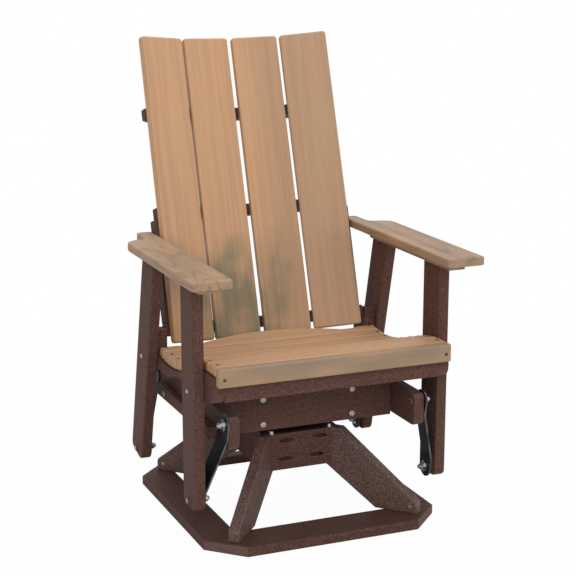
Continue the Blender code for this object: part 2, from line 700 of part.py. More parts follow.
def make_seat():
    """Nine slats and a nose board on two contoured side rails and a front rail."""
    places = seat_slat_places()
    half_length = SEAT_FACE - SLAT_SIDE_GAP
    outline = box_outline(0, -SLAT, SLAT_WIDTH, 0)
    straight = mesh_of("seat_slat", prism(outline, "X", -half_length, half_length))
    curved = mesh_of("rear_seat_slat", prism(rear_slat_outline(half_length), "Z", -SLAT, 0))
    for number, (front, rear) in enumerate(places, 1):
        mesh = curved if number == SLAT_COUNT else straight
        slat = add(f"seat_slat_{number}", mesh, seat, TAN_POLY, SLAT_EASE)
        slat.location = (0, front.x, front.y)
        slat.rotation_euler.x = atan2(rear.y - front.y, rear.x - front.x)

    half_nose = SEAT_FACE - NOSE_SIDE_GAP
    outline = box_outline(-SEAT_FRONT, SEAT_CREST - NOSE_HEIGHT, NOSE_BACK, SEAT_CREST)
    shape = prism(outline, "X", -half_nose, half_nose)
    add("seat_nose_board", mesh_of("seat_nose_board", shape), seat, TAN_POLY, SLAT_EASE)

    line = underside(places, FIT)
    front_y = NOSE_BACK + FIT
    slope = (line[1] - line[0]).normalized()

    def under_first_slat(y):
        return line[0].y + (y - line[0].x) * slope.y / slope.x

    back_y = front_y + BOARD
    outline = (
        (front_y, SEAT_CREST - FRONT_RAIL_DEPTH),
        (back_y, SEAT_CREST - FRONT_RAIL_DEPTH),
        (back_y, under_first_slat(back_y)),
        (front_y, under_first_slat(front_y)),
    )
    reach = SEAT_INNER_FACE - FIT
    shape = prism(outline, "X", -reach, reach)
    add("seat_front_rail", mesh_of("seat_front_rail", shape), seat, BROWN_POLY, SEATING)

    bottom = SEAT_CREST - SIDE_RAIL_DEPTH
    nib_front = seat_slat_rear(places) + SLAT_GAP
    nib_rear = nib_front + NIB_THICKNESS
    tail_end = nib_rear + SIDE_RAIL_TAIL
    seat_level = places[-1][1].y
    tail_top = seat_level + SIDE_RAIL_TAIL_HEIGHT
    corners = [
        (front_y, bottom, SIDE_RAIL_CORNER),
        (-SIDE_RAIL_STEP_Y, bottom, 0),
        (SIDE_RAIL_STEP_RUN - SIDE_RAIL_STEP_Y, bottom - SIDE_RAIL_STEP, 0),
        (tail_end, bottom - SIDE_RAIL_STEP, LEG_CORNER),
        (tail_end, tail_top, BOARD_EASE),
        (nib_rear, tail_top, 0),
        (nib_rear, seat_level + NIB_HEIGHT, BOARD_EASE),
        (nib_front, seat_level + NIB_HEIGHT, BOARD_EASE),
        (nib_front, line[-1].y, 0),
    ]
    corners += [(point.x, point.y, 0) for point in line[::-1]]
    corners.append((front_y, under_first_slat(front_y), 0))
    outline = rounded(corners)
    for sign, hand in SIDES:
        name = f"seat_{hand}_rail"
        shape = prism(outline, "X", sign * SEAT_INNER_FACE, sign * SEAT_FACE)
        add(name, mesh_of(name, shape), seat, BROWN_POLY)
    return places


def seat_slat_rear(places):
    """Rearmost point of the rear seat slat where it lies on the side rails."""
    front, rear = places[-1]
    run = (rear - front).normalized()
    lower = front + run * REAR_SLAT_END + Vector((run.y, -run.x)) * SLAT
    return max(rear.x, lower.x)


def leg_outline(pivot_y, lean):
    """Board that leans forwards as it rises, square at its foot with rounded corners."""
    rise = Vector((-sin(lean), cos(lean)))
    across = Vector((cos(lean), sin(lean)))
    foot = Vector((pivot_y, LOWER_PIVOT_Z)) - rise * LEG_END
    corners = []
    for sign in (-1, 1):
        low = foot + across * sign * LEG_WIDTH / 2
        top = low + rise * (LEG_TOP - low.y) / rise.y
        pair = [(low.x, low.y, LEG_CORNER), (top.x, top.y, 0)]
        corners += pair if sign > 0 else pair[::-1]
    return rounded(corners)


def make_legs():
    """Four legs on the outer faces of the seat's rails, with the links' lower bolts in them."""
    inner, outer = SEAT_FACE + FIT, SEAT_FACE + FIT + BOARD
    link_face = inner - RUNNING_GAP - LINK_THICKNESS
    legs = (
        ("front", -LOWER_PIVOT_Y, -LOWER_PIVOT_Y - FRONT_LEG_LEAD, 0),
        ("rear", LOWER_PIVOT_Y, LOWER_PIVOT_Y, REAR_LEG_LEAN),
    )
    for end, pivot_y, foot_y, lean in legs:
        outline = leg_outline(foot_y, lean)
        for sign, hand in SIDES:
            name = f"{end}_leg_{hand}"
            shape = prism(outline, "X", sign * inner, sign * outer)
            leg = add(name, mesh_of(name, shape), seat, BROWN_POLY, BOARD_EASE)
            bolt = pivot_bolt(sign, pivot_y, LOWER_PIVOT_Z, outer, link_face, -1, False)
            combine(leg, "UNION", [bolt], seat)


def slat_edges(rise):
    """Inner and outer edges in x of the middle and outer slats, this far up the back."""
    share = rise / BACK_SLAT_LENGTH
    width = BACK_SLAT_FOOT_WIDTH + (BACK_SLAT_HEAD_WIDTH - BACK_SLAT_FOOT_WIDTH) * share
    middle_end = BACK_CENTRE_GAP / 2 + width * cos(MIDDLE_SLAT_YAW)
    outer_start = middle_end + BACK_SLAT_GAP
    return (BACK_CENTRE_GAP / 2, middle_end), (outer_start, outer_start + width * cos(OUTER_SLAT_YAW))


def back_depth(x, behind):
    """Depth from the back's centre line of the slats' faces at x, moved rearwards by behind.

    The front faces run outwards and forwards from the centre, the outer slats turned further.
    """
    knee = slat_edges(0)[1][0] - BACK_SLAT_GAP / 2
    x = abs(x)
    middle = behind / cos(MIDDLE_SLAT_YAW) - x * tan(MIDDLE_SLAT_YAW)
    outer = behind / cos(OUTER_SLAT_YAW) - (x - knee) * tan(OUTER_SLAT_YAW)
    return min(middle, outer - knee * tan(MIDDLE_SLAT_YAW))


def facet_knee(behind):
    """Where the two facets of one side meet, this far behind the slats' front faces."""
    knee = slat_edges(0)[1][0] - BACK_SLAT_GAP / 2
    rise = behind / cos(OUTER_SLAT_YAW) - behind / cos(MIDDLE_SLAT_YAW)
    return knee + rise / (tan(OUTER_SLAT_YAW) - tan(MIDDLE_SLAT_YAW))


def make_back(frame):
    """Four slats in front of three faceted rails and two uprights."""
    middle_foot, outer_foot = slat_edges(0)
    middle_head, outer_head = slat_edges(BACK_SLAT_LENGTH)
    half_foot, half_head = BACK_SLAT_FOOT_WIDTH / 2, BACK_SLAT_HEAD_WIDTH / 2
    outline = rounded((
        (-half_foot, 0, BACK_SLAT_CORNER),
        (half_foot, 0, BACK_SLAT_CORNER),
        (half_head, BACK_SLAT_LENGTH, BACK_SLAT_CORNER),
        (-half_head, BACK_SLAT_LENGTH, BACK_SLAT_CORNER),
    ))
    mesh = mesh_of("back_slat", prism(outline, "Y", 0, BACK_SLAT_THICKNESS))
    number = 0
    for sign, foot, head, yaw in (
        (-1, outer_foot, outer_head, OUTER_SLAT_YAW),
        (-1, middle_foot, middle_head, MIDDLE_SLAT_YAW),
        (1, middle_foot, middle_head, MIDDLE_SLAT_YAW),
        (1, outer_foot, outer_head, OUTER_SLAT_YAW),
    ):
        number += 1
        slat = add(f"back_slat_{number}", mesh, frame, TAN_POLY, SLAT_EASE, in_parent=True)
        foot_x, head_x = sum(foot) / 2, sum(head) / 2
        slat.location = (sign * foot_x, back_depth(foot_x, 0), 0)
        slat.rotation_mode = "ZYX"
        inward = atan2(foot_x - head_x, BACK_SLAT_LENGTH) / cos(yaw)
        slat.rotation_euler = (0, -sign * inward, -sign * yaw)

    behind = BACK_SLAT_THICKNESS + FIT
    knee = facet_knee(behind)
    rear = back_depth(0, behind) + BACK_RAIL_DEPTH
    lower_half = SEAT_INNER_FACE - FIT
    rails = (
        ("back_lower_rail", LOWER_RAIL_RISE, lower_half),
        ("back_middle_rail", MIDDLE_RAIL_RISE, BACK_RAIL_HALF),
        ("back_upper_rail", UPPER_RAIL_RISE, BACK_RAIL_HALF),
    )
    for name, rise, half in rails:
        end_front = back_depth(half, behind)
        right = (
            (0, back_depth(0, behind)),
            (knee, back_depth(knee, behind)),
            (half, end_front),
            (half, end_front + BACK_RAIL_END_DEPTH),
            (half - BACK_RAIL_CHAMFER, rear),
        )
        outline = list(right) + [(-x, y) for x, y in right[:0:-1]]
        low, high = rise - BACK_RAIL_HEIGHT / 2, rise + BACK_RAIL_HEIGHT / 2
        shape = prism(outline, "Z", low, high)
        add(name, mesh_of(name, shape), frame, BROWN_POLY, BOARD_EASE, in_parent=True)

    outer = ARM_INNER_EDGE - FIT
    inner = outer - BOARD
    low = LOWER_RAIL_RISE + BACK_RAIL_HEIGHT / 2 + FIT
    high = MIDDLE_RAIL_RISE - BACK_RAIL_HEIGHT / 2 - FIT
    for sign, hand in SIDES:
        outline = (
            (sign * inner, back_depth(inner, behind)),
            (sign * outer, back_depth(outer, behind)),
            (sign * outer, back_depth(outer, behind) + UPRIGHT_DEPTH),
            (sign * inner, back_depth(outer, behind) + UPRIGHT_DEPTH),
        )
        name = f"back_{hand}_upright"
        shape = prism(outline, "Z", low, high)
        add(name, mesh_of(name, shape), frame, BROWN_POLY, BOARD_EASE, in_parent=True)


def make_arms():
    """Two arm boards with a narrowed tail beside the back, on support boards over the legs."""
    inner = ARM_INNER_EDGE
    outer = inner + ARM_WIDTH
    tail = inner + ARM_TAIL_WIDTH
    step = outer - tail
    corners = (
        (inner, -ARM_FRONT, ARM_CORNER),
        (outer, -ARM_FRONT, ARM_CORNER),
        (outer, ARM_SHOULDER_Y, step * ARM_SHOULDER_SHARE),
        (tail, ARM_SHOULDER_Y, step * ARM_NOTCH_SHARE),
        (tail, ARM_TAIL_END, ARM_CORNER),
        (inner, ARM_TAIL_END, 0),
    )
    support_inner = inner + ARM_SUPPORT_INSET
    support_outer = support_inner + ARM_SUPPORT_WIDTH
    support_front = ARM_SUPPORT_FRONT_INSET - ARM_FRONT
    for sign, hand in SIDES:
        outline = rounded([(sign * x, y, radius) for x, y, radius in corners])
        name = f"{hand}_arm"
        shape = prism(outline, "Z", ARM_UNDERSIDE, ARM_HEIGHT)
        add(name, mesh_of(name, shape), seat, TAN_POLY, SLAT_EASE)
        near, far = sorted((sign * support_inner, sign * support_outer))
        outline = box_outline(near, support_front, far, ARM_SUPPORT_REAR)
        name = f"{hand}_arm_support"
        top = ARM_UNDERSIDE - FIT
        shape = prism(outline, "Z", top - ARM_SUPPORT_THICKNESS, top)
        add(name, mesh_of(name, shape), seat, TAN_POLY, BOARD_EASE)


def centre_on_origin():
    """Puts the origin on the floor under the middle of the whole chair's width and depth."""
    bpy.context.view_layer.update()
    graph = bpy.context.evaluated_depsgraph_get()
    reaches = []
    for piece in bpy.context.scene.objects:
        if piece.type != "MESH" or piece.hide_render:
            continue
        shown = piece.evaluated_get(graph)
        reaches += [(shown.matrix_world @ vertex.co).y for vertex in shown.data.vertices]
    chair.location.y = -(min(reaches) + max(reaches)) / 2


make_base()
make_struts()
make_hub()
make_swivel()
make_swivel_frame()
make_links()
slat_places = make_seat()
make_legs()
back_foot = (0, seat_slat_rear(slat_places) + BACK_SETBACK, BACK_FOOT_HEIGHT)
back_frame = empty("back_frame", back_foot, seat)
back_frame.rotation_euler.x = -BACK_LEAN
make_back(back_frame)
make_arms()
centre_on_origin()
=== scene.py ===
"""Finishes, small hardware and studio for an outdoor swivel glider armchair.

The boards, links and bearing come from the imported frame. The operators give them their finishes
and add the bolts, nuts and screws that hold them together. Metres, +Z up, the front towards -Y.
"""

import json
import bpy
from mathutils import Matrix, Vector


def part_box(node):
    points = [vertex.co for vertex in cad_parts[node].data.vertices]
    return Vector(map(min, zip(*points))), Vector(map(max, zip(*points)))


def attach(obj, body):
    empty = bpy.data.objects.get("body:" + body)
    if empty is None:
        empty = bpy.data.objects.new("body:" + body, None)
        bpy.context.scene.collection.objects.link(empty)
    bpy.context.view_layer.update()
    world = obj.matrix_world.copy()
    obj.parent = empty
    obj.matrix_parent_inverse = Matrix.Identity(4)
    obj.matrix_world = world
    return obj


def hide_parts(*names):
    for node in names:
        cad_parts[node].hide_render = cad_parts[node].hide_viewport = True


bl_info = {
    "name": "Swivel glider armchair finishes",
    "version": (1, 0, 0),
    "blender": (4, 5, 0),
    "location": "3D View > Sidebar > Glider",
    "description": "Dresses a poly lumber swivel glider armchair with finishes and hardware",
    "category": "Object",
}

from math import cos, radians, sin

import bmesh
import bpy
from bpy.props import FloatProperty, FloatVectorProperty, PointerProperty
from bpy.types import Operator, Panel, PropertyGroup
from mathutils import Matrix, Vector

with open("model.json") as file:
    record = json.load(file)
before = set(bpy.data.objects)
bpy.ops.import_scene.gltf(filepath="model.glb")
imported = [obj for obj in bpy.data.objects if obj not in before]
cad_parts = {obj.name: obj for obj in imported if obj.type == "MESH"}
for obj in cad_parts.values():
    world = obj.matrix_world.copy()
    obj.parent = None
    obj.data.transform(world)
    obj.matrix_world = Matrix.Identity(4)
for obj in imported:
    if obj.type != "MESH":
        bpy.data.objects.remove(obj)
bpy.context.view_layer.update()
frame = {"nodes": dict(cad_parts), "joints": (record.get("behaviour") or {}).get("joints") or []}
joints = {joint["name"]: joint for joint in frame["joints"]}
AXIS_Y = joints["swivel"]["pos_m"][1]
# Distance of the links' pivots from the swivel axis, and their height
UPPER_PIVOTS = (0.2715, joints["glide"]["pos_m"][2])
LOWER_PIVOTS = (0.2139, joints["seat_turn"]["pos_m"][2])
# Left and right, and front and rear
SIDES = (-1, 1)
ENDS = (-1, 1)


# Shader maths

class Value:
    """A shader socket that takes part in expressions, each of which adds its Math nodes."""

    def __init__(self, graph, socket):
        self.graph = graph
        self.socket = socket

    def math(self, operation, *values):
        return self.graph.make("ShaderNodeMath", {"operation": operation}, dict(enumerate(values)))

    def __add__(self, other):
        return self.math("ADD", self, other)

    def __sub__(self, other):
        return self.math("SUBTRACT", self, other)

    def __rsub__(self, other):
        return self.math("SUBTRACT", other, self)

    def __mul__(self, other):
        return self.math("MULTIPLY", self, other)

    def __abs__(self):
        return self.math("ABSOLUTE", self)

    def greatest(self, other):
        return self.math("MAXIMUM", self, other)

    def folded(self):
        """Runs from 0 to 1 and back, once for every 2."""
        return self.math("PINGPONG", self, 1.0)

    def between(self, low, high):
        """0 below low, 1 above high and a soft step from one to the other."""
        return self.graph.make(
            "ShaderNodeMapRange",
            {"interpolation_type": "SMOOTHSTEP"},
            {"Value": self, "From Min": low, "From Max": high},
        )


class Graph:
    """The nodes of one material or world."""

    def __init__(self, owner):
        owner.use_nodes = True
        self.tree = owner.node_tree

    def make(self, kind, settings=None, sockets=None, output=0):
        """Adds a node, sets its settings, then its sockets' values or links."""
        node = self.tree.nodes.new(kind)
        for name, value in (settings or {}).items():
            setattr(node, name, value)
        for name, value in (sockets or {}).items():
            if isinstance(value, Value):
                self.tree.links.new(value.socket, node.inputs[name])
            else:
                node.inputs[name].default_value = value
        return Value(self, node.outputs[output])

    def place(self):
        return self.make("ShaderNodeTexCoord", output="Object")

    def normal(self):
        return self.make("ShaderNodeTexCoord", output="Normal")

    def part(self, vector, index):
        return self.make("ShaderNodeSeparateXYZ", sockets={"Vector": vector}, output=index)

    def stretched(self, vector, scale):
        settings = {"operation": "MULTIPLY"}
        return self.make("ShaderNodeVectorMath", settings, {0: vector, 1: scale})

    def noise(self, vector, detail=2.0):
        sockets = {"Vector": vector, "Scale": 1.0, "Detail": detail, "Roughness": 0.5}
        return self.make("ShaderNodeTexNoise", sockets=sockets)

    def speckles(self, scale, detail=2.0):
        """Noise with the same scale in every direction."""
        return self.noise(self.stretched(self.place(), (scale, scale, scale)), detail)

    def mix(self, share, low, high):
        """Colour that goes from low to high with the share."""
        settings = {"data_type": "RGBA"}
        low = low if isinstance(low, Value) else (*low, 1.0)
        high = high if isinstance(high, Value) else (*high, 1.0)
        return self.make("ShaderNodeMix", settings, {0: share, 6: low, 7: high}, output=2)

    def bump(self, height, distance, strength):
        sockets = {"Height": height, "Distance": distance, "Strength": strength}
        return self.make("ShaderNodeBump", sockets=sockets)

    def finish(self, sockets):
        """Feeds the Principled shader's sockets."""
        shader = self.tree.nodes["Principled BSDF"]
        for name, value in sockets.items():
            if isinstance(value, Value):
                self.tree.links.new(value.socket, shader.inputs[name])
            else:
                shader.inputs[name].default_value = value


# Finishes

# Noise scales per metre
TAN_GRIT = 900.0
BROWN_PEBBLES = 260.0
BROWN_GRIT = 1100.0
STEEL_GRIT = 700.0
ZINC_SPANGLE = 480.0
ZINC_GRIT = 2200.0
SCREW_SPOTS = 900.0
# Edges of the back's greying and of its stain, from the chair's middle or from the floor
GREYED_SIDE = (0.02, 0.10)
STAIN_TOP = (0.59, 0.70)
STAIN_RIGHT = (0.03, 0.11)
STAIN_LEFT = (-0.29, -0.2)
# Square of the radius at which a pivot head's zinc ends and its brown rim is full
PIVOT_RIM = (0.000034, 0.000044)
# Largest part of a normal along an axis, from a board's eased edges, which take a painted highlight, to its
# flat faces
FLAT_FACES = (0.78, 0.97)
# Closed lines between the lowest and the highest of the noise that draws them
SWIRLS = 15.0
STEEL_GLOSS = 0.15

GRAINS = {
    "across": lambda along, across: (along, across, across),
    "deep": lambda along, across: (across, along, across),
    "upright": lambda along, across: (across, across, along),
}


def new_finish(name):
    """A new material with its graph, and the chair's colours."""
    material = bpy.data.materials.new(name)
    return material, Graph(material), bpy.context.scene.glider_looks


def tan_lumber(name, grain, lean=0.0, smudged=False, greying=0.0, figure=1.0,
               swirled=False):
    """Wood-look lumber: light tan, with soft streaks along the board.

    lean tilts the grain with the back. greying is the share of weathered grey in it and figure
    the strength of its streaks. Swirled lumber has the closed lines of flat sawn wood, and
    smudged lumber the back's greenish stain.
    """
    material, graph, looks = new_finish(name)
    place = graph.place()
    if lean:
        sockets = {"Vector": place, "Rotation": (lean, 0.0, 0.0)}
        place = graph.make("ShaderNodeMapping", sockets=sockets)

    def pattern(along, across, detail=2.0):
        return graph.noise(graph.stretched(place, GRAINS[grain](along, across)), detail)

    hairs = pattern(7.0, 420.0, 3.0)
    streaks = pattern(2.4, 95.0)
    bands = pattern(1.5, 26.0)
    clouds = pattern(5.0, 14.0)
    colour = graph.mix(streaks.between(0.34, 0.68) * 0.75, looks.tan_light, looks.tan_middle)
    colour = graph.mix(hairs.between(0.5, 0.8) * (0.22 * figure), colour, looks.tan_dark)
    colour = graph.mix(bands.between(0.54, 0.74) * (0.26 * figure), colour, looks.tan_streak)
    if greying:
        share = clouds.between(0.3, 0.62) * 0.45 + 0.7
        colour = graph.mix(share * greying, colour, looks.tan_grey)
        lines = bands.between(0.5, 0.72) * 0.45 + hairs.between(0.5, 0.8) * 0.3
        colour = graph.mix(lines * greying, colour, looks.tan_line)
    if swirled:
        rings = (pattern(3.0, 13.0, 1.0) * SWIRLS).folded()
        figured = pattern(4.0, 11.0).between(0.36, 0.56)
        colour = graph.mix((1 - rings.between(0.0, 0.45)) * figured * 0.5, colour, looks.tan_line)
    if smudged:
        height = graph.part(graph.place(), 2)
        width = graph.part(graph.place(), 0)
        colour = graph.mix(width.between(*GREYED_SIDE) * 0.35, colour, looks.tan_grey)
        wave = (pattern(6.0, 9.0) - 0.5) * 0.22
        stain = 1 - (height + wave).between(*STAIN_TOP)
        stain = stain * (1 - (width + wave).between(*STAIN_RIGHT))
        stain = stain * (width - wave).between(*STAIN_LEFT)
        blotch = pattern(11.0, 17.0).between(0.34, 0.6) * 0.5 + streaks.between(0.3, 0.7) * 0.12
        colour = graph.mix(stain * (blotch + 0.26), colour, looks.tan_smudge)
    grit = graph.speckles(TAN_GRIT)
    graph.finish({
        "Base Color": colour,
        "Roughness": streaks * 0.14 + grit * 0.1 + 0.42,
        "Normal": graph.bump(hairs * 0.7 + grit * 0.5, 0.0005, 0.45),
    })
    return material


def brown_lumber(name, grain, board_faces=None, highlit_specks=0.36, lit_edges=0.3, gloss=0.04,
                 painted_shade=0.0, pivot=None):
    """Dark brown lumber with a fine pebbled skin, with a painted highlight on the pebbles' tops and along
    its eased edges.

    board_faces are the board's two faces as distances from the chair's middle. What stands out
    of them is the zinc of the bolt through the board. pivot is the bolt's distance from the
    swivel axis, its height and whether its head, which has a brown rim, is on the inner face.
    """
    material, graph, looks = new_finish(name)
    place = graph.place()
    pebbles = graph.speckles(BROWN_PEBBLES, 4.0)
    grit = graph.speckles(BROWN_GRIT)
    streaks = graph.noise(graph.stretched(place, GRAINS[grain](6.0, 120.0)))
    clouds = graph.noise(graph.stretched(place, GRAINS[grain](3.0, 16.0)))
    colour = graph.mix(streaks.between(0.35, 0.68), looks.brown_dark, looks.brown_middle)
    colour = graph.mix(clouds.between(0.45, 0.7) * 0.35, colour, looks.brown_warm)
    # Painted highlight: pale specks for the pebbles' tops catching the light
    colour = graph.mix(pebbles.between(0.44, 0.66) * highlit_specks, colour, looks.brown_speck_highlight)
    # Painted highlight: the eased edges, whose normals lean off the axes, are paler
    if lit_edges:
        normal = graph.normal()
        facing = abs(graph.part(normal, 0)).greatest(abs(graph.part(normal, 1)))
        facing = facing.greatest(abs(graph.part(normal, 2)))
        eased = 1 - facing.between(*FLAT_FACES)
        colour = graph.mix(eased * lit_edges, colour, looks.brown_edge_highlight)
    # Painted shade: darker colour for the inside of the pocket holes
    if painted_shade:
        colour = graph.mix(painted_shade, colour, looks.bore_shade_colour)
    roughness = pebbles * 0.2 + streaks * 0.08 + 0.36
    metal = 0.0
    if board_faces:
        near, far = board_faces
        edge = looks.seam
        reach = abs(graph.part(place, 0))
        outer = reach.between(far + edge, far + 2 * edge)
        inner = 1 - reach.between(near - 2 * edge, near - edge)
        if pivot:
            distance, height, head_inside = pivot
            beside = abs(abs(graph.part(place, 1) - AXIS_Y) - distance)
            above = graph.part(place, 2) - height
            core = 1 - (beside * beside + above * above).between(*PIVOT_RIM)
            inner, outer = (inner * core, outer) if head_inside else (inner, outer * core)
        metal = inner + outer
        colour = graph.mix(metal, colour, looks.zinc_dull)
        roughness = roughness * (1 - metal) + (grit * 0.16 + 0.25) * metal
    graph.finish({
        "Base Color": colour,
        "Roughness": roughness,
        "Metallic": metal,
        "Specular IOR Level": gloss,
        "Normal": graph.bump(pebbles * 0.9 + grit * 0.3, 0.0012, 0.6),
    })
    return material


def coated_steel(name, highlit_strap_edges=False):
    """Black coated steel, scuffed, with a painted highlight of dull zinc along the edges of a strap."""
    material, graph, looks = new_finish(name)
    grit = graph.speckles(STEEL_GRIT)
    scuffs = graph.noise(graph.stretched(graph.place(), (60.0, 60.0, 9.0)), 3.0)
    colour = graph.mix(scuffs.between(0.5, 0.75) * 0.5, looks.black_coat, looks.black_scuff)
    roughness = scuffs * 0.25 + 0.33
    metal = 0.0
    if highlit_strap_edges:
        # Painted highlight: dull zinc on the strap's edges, where the normal turns away from X, stands in
        # for their reflection
        facing = abs(graph.part(graph.normal(), 0))
        metal = (1 - facing.between(0.1, 0.25)) * (scuffs.between(0.35, 0.6) * 0.25 + 0.05)
        colour = graph.mix(metal, colour, looks.zinc_dull)
    graph.finish({
        "Base Color": colour,
        "Roughness": roughness,
        "Metallic": metal,
        "Specular IOR Level": STEEL_GLOSS,
        "Normal": graph.bump(grit, 0.0002, 0.35),
    })
    return material


def zinc(name, dullness=0.0):
    """Zinc plating, a little uneven, and greyer and rougher where it is dull."""
    material, graph, looks = new_finish(name)
    spangle = graph.speckles(ZINC_SPANGLE, 3.0)
    grit = graph.speckles(ZINC_GRIT)
    colour = graph.mix(spangle.between(0.35, 0.7), looks.zinc, looks.zinc_dull)
    graph.finish({
        "Base Color": graph.mix(spangle * 0.4 + 0.6 * dullness, colour, looks.zinc_grey),
        "Roughness": spangle * 0.25 + (0.2 + 0.2 * dullness),
        "Metallic": 1.0,
        "Normal": graph.bump(grit, 0.0001, 0.3),
    })
    return material


def dark_screw(name):
    """Dark coated screw steel with worn spots."""
    material, graph, looks = new_finish(name)
    spots = graph.speckles(SCREW_SPOTS)
    graph.finish({
        "Base Color": graph.mix(spots.between(0.4, 0.7), looks.screw_dark, looks.screw_light),
        "Roughness": spots * 0.2 + 0.35,
        "Metallic": 0.6,
        "Normal": graph.bump(spots, 0.0001, 0.3),
    })
    return material


# Modelling helpers

# Radius of a thread's root as a share of its crest
THREAD_ROOT = 0.86
# Least part of a normal along a direction, for a face square to it and for one that leans
SQUARE = 0.9
LEANING = 0.6


def select_only(*pieces):
    """Selects these pieces alone, with the first one active."""
    bpy.ops.object.select_all(action="DESELECT")
    for piece in pieces:
        piece.select_set(True)
    bpy.context.view_layer.objects.active = pieces[0]


def choose(test):
    """Selects the faces, in edit mode, whose centre and normal pass the test."""
    bpy.ops.mesh.select_mode(type="FACE")
    bpy.ops.mesh.select_all(action="DESELECT")
    mesh = bpy.context.object.data
    shape = bmesh.from_edit_mesh(mesh)
    for face in shape.faces:
        face.select = test(face.calc_center_median(), face.normal)
    shape.select_flush_mode()
    bmesh.update_edit_mesh(mesh)


def start(name):
    """Names the new primitive and opens it in edit mode."""
    piece = bpy.context.object
    piece.name = name
    bpy.ops.object.mode_set(mode="EDIT")
    return piece


def close(material, smooth=40):
    """Leaves edit mode and gives the piece its shading and finish."""
    bpy.ops.object.mode_set(mode="OBJECT")
    bpy.ops.object.shade_smooth_by_angle(angle=radians(smooth))
    bpy.context.object.data.materials.append(material)


def stand(pattern, spot, facing, turn=0.0):
    """Copies a pattern to a spot, its +Z towards facing, with the place in its mesh."""
    select_only(pattern)
    bpy.ops.object.duplicate()
    piece = bpy.context.object
    way = Vector(facing).to_track_quat("Z", "Y").to_matrix().to_4x4()
    piece.matrix_world = Matrix.Translation(Vector(spot)) @ way @ Matrix.Rotation(turn, 4, "Z")
    bpy.ops.object.transform_apply(location=True, rotation=True, scale=True)
    return piece


def gather(pieces, name, body):
    """Joins copies into one piece that rides on a body."""
    select_only(*pieces)
    bpy.ops.object.join()
    piece = bpy.context.object
    piece.name = name
    piece.data.name = name
    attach(piece, body)
    return piece


def discard(*patterns):
    """Removes patterns once their copies stand."""
    for pattern in patterns:
        bpy.data.objects.remove(pattern, do_unlink=True)


def lift(rise):
    bpy.ops.transform.translate(value=(0, 0, rise))


def extrude(rise):
    bpy.ops.mesh.extrude_region_move(TRANSFORM_OT_translate={"value": (0, 0, rise)})


def cylinder(name, sides, radius, depth, middle):
    """A new upright cylinder in edit mode, its middle at that height and its top selected."""
    bpy.ops.object.select_all(action="DESELECT")
    bpy.ops.mesh.primitive_cylinder_add(vertices=sides, radius=radius, depth=depth)
    piece = start(name)
    bpy.ops.mesh.select_all(action="SELECT")
    lift(middle)
    choose(lambda centre, normal: normal.z > SQUARE)
    return piece


def dome_head(name, radius, height, material):
    """Round bolt head with a low crown, its seat on Z = 0."""
    piece = cylinder(name, 24, radius, height / 2, height / 4)
    for share, rise in ((0.14, 0.24), (0.24, 0.16), (0.3, 0.1)):
        bpy.ops.mesh.inset(thickness=radius * share)
        lift(height * rise)
    close(material, 60)
    return piece


def driven_head(name, radius, height, material):
    """Small screw head with a round drive recess in it."""
    piece = cylinder(name, 16, radius, height, height / 2)
    bpy.ops.mesh.inset(thickness=radius * 0.22)
    lift(height * 0.35)
    bpy.ops.mesh.inset(thickness=radius * 0.34)
    extrude(-height)
    close(material, 35)
    return piece


def hex_head(name, radius, height, material):
    """Hexagon head on its washer, its upper corners turned off."""
    piece = cylinder(name, 6, radius, height, height / 2 + height * 0.25)
    bpy.ops.mesh.inset(thickness=radius * 0.14)
    lift(height * 0.12)
    choose(lambda centre, normal: normal.z < -SQUARE)
    bpy.ops.mesh.inset(thickness=radius * 0.05)
    extrude(-height * 0.05)
    bpy.ops.mesh.select_all(action="DESELECT")
    rim = radius * 1.4
    spot = (0, 0, height * 0.1)
    bpy.ops.mesh.primitive_cylinder_add(vertices=28, radius=rim, depth=height * 0.2, location=spot)
    close(material, 30)
    return piece


def thread_end(name, radius, length, turns, material):
    """Bolt end with its thread as a stack of ridges, from Z = 0 upwards."""
    pitch = length / turns
    piece = cylinder(name, 20, radius, pitch / 2, pitch / 4)
    for turn in range(2 * turns - 1):
        extrude(pitch / 2)
        share = THREAD_ROOT if turn % 2 == 0 else 1 / THREAD_ROOT
        bpy.ops.transform.resize(value=(share, share, 1))
    bpy.ops.mesh.inset(thickness=radius * 0.2)
    lift(pitch / 4)
    close(material, 30)
    return piece


def nut_collar(name, outer, inner, height, material):
    """Round collar of a lock nut, open for its bolt."""
    piece = cylinder(name, 24, outer, height, height / 2)
    bpy.ops.mesh.inset(thickness=outer * 0.1)
    lift(height * 0.25)
    bpy.ops.mesh.inset(thickness=outer * 0.9 - inner)
    extrude(-height * 0.4)
    close(material, 30)
    return piece


def broad_face(node, way):
    """Centre and normal of a board's largest face on one side."""
    sums = {}
    for polygon in frame["nodes"][node].data.polygons:
        if polygon.normal.dot(Vector(way)) > LEANING:
            key = tuple(round(part, 2) for part in polygon.normal)
            area, centre, normal = sums.get(key, (0.0, Vector(), polygon.normal.copy()))
            sums[key] = (area + polygon.area, centre + polygon.center * polygon.area, normal)
    area, centre, normal = max(sums.values(), key=lambda item: item[0])
    return centre / area, normal


# Sizes and colours

def colour_property(name, description, default):
    return FloatVectorProperty(
        name=name, description=description, default=default, subtype="COLOR", min=0, max=1)


def length_property(name, description, default):
    return FloatProperty(
        name=name, description=description, default=default, unit="LENGTH", precision=4, min=0)


